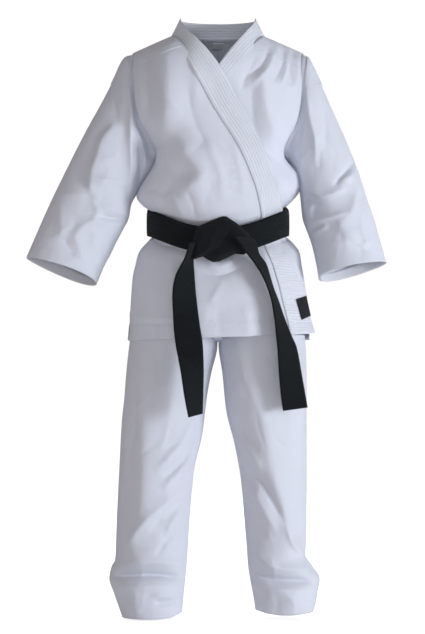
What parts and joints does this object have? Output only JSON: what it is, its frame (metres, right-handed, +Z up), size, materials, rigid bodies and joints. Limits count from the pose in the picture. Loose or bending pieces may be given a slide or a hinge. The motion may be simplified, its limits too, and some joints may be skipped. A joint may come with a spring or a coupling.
{
  "type": "martial arts uniform",
  "caption": "Child's karate uniform as worn by an unseen figure: wrapped white jacket with wide sleeves, loose white trousers and a knotted black belt with hanging ends.",
  "frame": {"origin": "middle of the neck opening, level with the shoulder seams at the neck", "axes": "+Z up, from the trouser hems to the collar; +X the wearer's left; -Y the front, where the jacket wraps and the belt is knotted"},
  "size_m": [0.5687, 0.239, 0.9577],
  "materials": {
    "jacket_cotton": "bleached cotton canvas, matt",
    "trouser_cotton": "bleached cotton twill, matt",
    "quilted_band": "several layers of cotton with rows of stitching",
    "cotton_tape": "woven cotton tape",
    "belt_cotton": "black cotton cover with rows of stitching",
    "black_label": "woven label",
    "white_label": "woven satin label, blank",
    "elastic_webbing": "braided elastic"
  },
  "bodies": {
    "jacket_and_seat": {"right_front_panel": "jacket_cotton", "left_front_panel": "jacket_cotton", "right_back_panel": "jacket_cotton", "left_back_panel": "jacket_cotton", "collar_band": "quilted_band", "neck_label": "white_label", "right_shoulder_yoke": "jacket_cotton", "left_shoulder_yoke": "jacket_cotton", "inner_tie": "cotton_tape", "outer_tie": "cotton_tape", "right_back_skirt": "jacket_cotton", "left_back_skirt": "jacket_cotton", "back_hem_facing": "jacket_cotton", "waistband": "trouser_cotton", "waist_elastic": "elastic_webbing", "right_front_rise": "trouser_cotton", "left_front_rise": "trouser_cotton", "right_back_rise": "trouser_cotton", "left_back_rise": "trouser_cotton", "crotch_gusset": "trouser_cotton", "belt_inner_wrap": "belt_cotton", "belt_outer_wrap": "belt_cotton", "knot_core": "belt_cotton", "knot_wrap": "belt_cotton"},
    "right_sleeve_body": {"right_sleeve": "jacket_cotton", "right_sleeve_head_patch": "jacket_cotton", "right_cuff_facing": "jacket_cotton"},
    "left_sleeve_body": {"left_sleeve": "jacket_cotton", "left_sleeve_head_patch": "jacket_cotton", "left_cuff_facing": "jacket_cotton"},
    "front_skirt_body": {"outer_front_skirt": "jacket_cotton", "inner_front_skirt": "jacket_cotton", "outer_lapel_foot": "quilted_band", "inner_lapel_foot": "quilted_band", "front_hem_facing": "jacket_cotton", "woven_patch": "black_label"},
    "right_leg_body": {"right_leg_front": "trouser_cotton", "right_leg_back": "trouser_cotton", "right_hem_facing": "trouser_cotton"},
    "left_leg_body": {"left_leg_front": "trouser_cotton", "left_leg_back": "trouser_cotton", "left_hem_facing": "trouser_cotton"},
    "right_tail_body": {"right_belt_tail": "belt_cotton"},
    "left_tail_body": {"left_belt_tail": "belt_cotton"}
  },
  "joints": [
    {"name": "right_shoulder", "type": "hinge", "parent": "jacket_and_seat", "child": "right_sleeve_body", "pos_m": [-0.139, 0, -0.1125], "axis": [0, 1, 0], "range_deg": [0, 40]},
    {"name": "left_shoulder", "type": "hinge", "parent": "jacket_and_seat", "child": "left_sleeve_body", "pos_m": [0.139, 0, -0.1125], "axis": [0, -1, 0], "range_deg": [0, 40]},
    {"name": "right_hip", "type": "hinge", "parent": "jacket_and_seat", "child": "right_leg_body", "pos_m": [-0.0804, 0, -0.491], "axis": [0, 1, 0], "range_deg": [0, 20]},
    {"name": "left_hip", "type": "hinge", "parent": "jacket_and_seat", "child": "left_leg_body", "pos_m": [0.0804, 0, -0.491], "axis": [0, -1, 0], "range_deg": [0, 20]},
    {"name": "front_skirt_lift", "type": "hinge", "parent": "jacket_and_seat", "child": "front_skirt_body", "pos_m": [0, -0.092, -0.35], "axis": [-1, 0, 0], "range_deg": [0, 30]},
    {"name": "right_tail_swing", "type": "hinge", "parent": "front_skirt_body", "child": "right_tail_body", "pos_m": [-0.045, -0.097, -0.3632], "axis": [-1, 0, 0], "range_deg": [0, 70]},
    {"name": "left_tail_swing", "type": "hinge", "parent": "front_skirt_body", "child": "left_tail_body", "pos_m": [0.049, -0.097, -0.346], "axis": [-1, 0, 0], "range_deg": [0, 70]}
  ]
}
